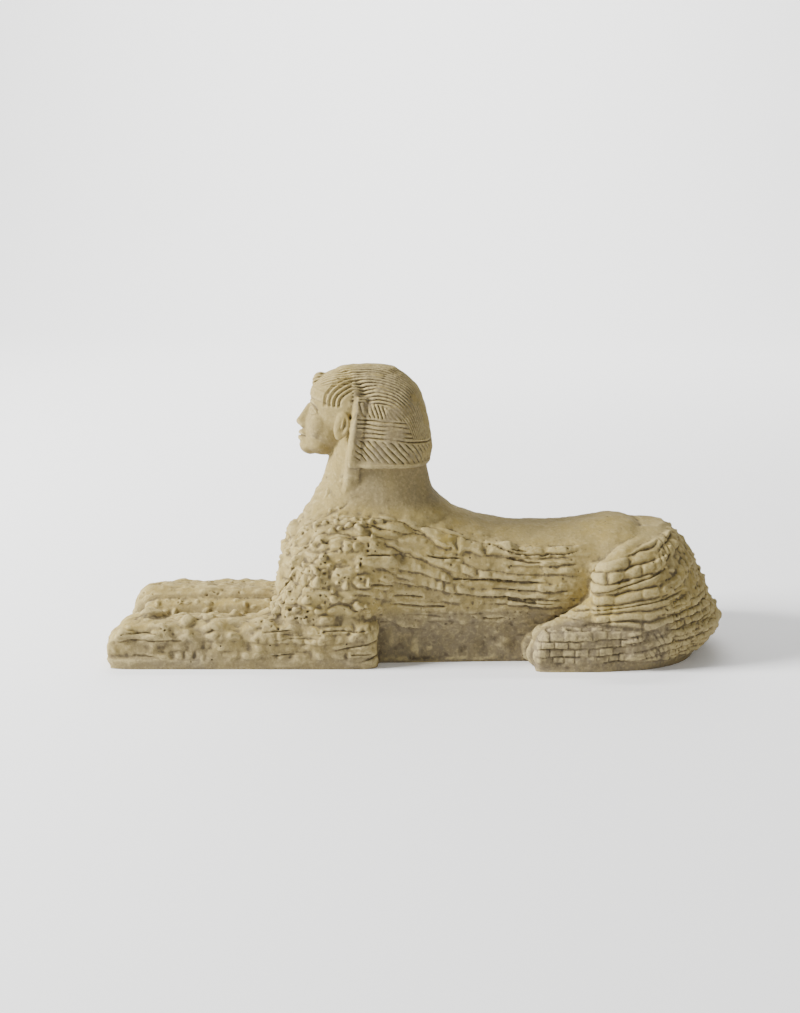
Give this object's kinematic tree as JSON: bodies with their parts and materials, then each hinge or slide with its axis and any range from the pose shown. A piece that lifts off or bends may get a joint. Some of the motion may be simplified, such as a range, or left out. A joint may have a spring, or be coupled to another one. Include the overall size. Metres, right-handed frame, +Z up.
{
  "type": "sphinx statue",
  "caption": "Small one-piece plaster cast of a recumbent Egyptian-style sphinx with a striped headcloth and weathered, layered sides; stands on a flat underside.",
  "frame": {"origin": "centre of the statue's flat underside, at floor level", "axes": "-Y the way the sphinx faces, +Y towards its rump, +X its left side, +Z up"},
  "size_m": [0.0828, 0.2499, 0.1166],
  "materials": {
    "cast_plaster": "matt"
  },
  "bodies": {
    "root": {"sphinx": "cast_plaster"}
  },
  "joints": []
}
